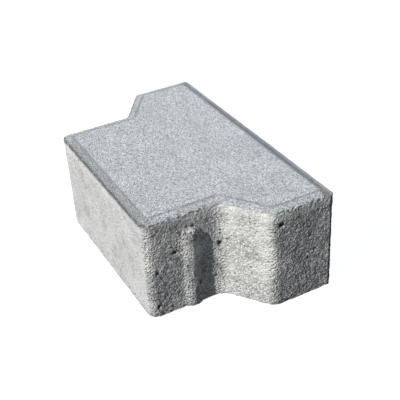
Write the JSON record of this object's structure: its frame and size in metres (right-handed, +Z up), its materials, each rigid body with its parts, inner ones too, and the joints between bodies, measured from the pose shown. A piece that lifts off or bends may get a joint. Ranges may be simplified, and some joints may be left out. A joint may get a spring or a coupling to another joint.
{
  "type": "concrete paving stone",
  "caption": "Half stone of an interlocking concrete paver: T-shaped in plan, chamfered wearing face, a spacer rib on each flank of its waist.",
  "frame": {"origin": "middle of the underside, at the bottom centre of the bounding box", "axes": "+Z up out of the chamfered wearing face, +X along the long flange side, +Y from the waist's cut face towards the flange side"},
  "size_m": [0.162, 0.097, 0.06],
  "materials": {
    "concrete": "vibro-pressed dry-cast concrete, fine-grained wearing face over coarser sides"
  },
  "bodies": {
    "root": {"paving_stone": "concrete"}
  },
  "joints": []
}
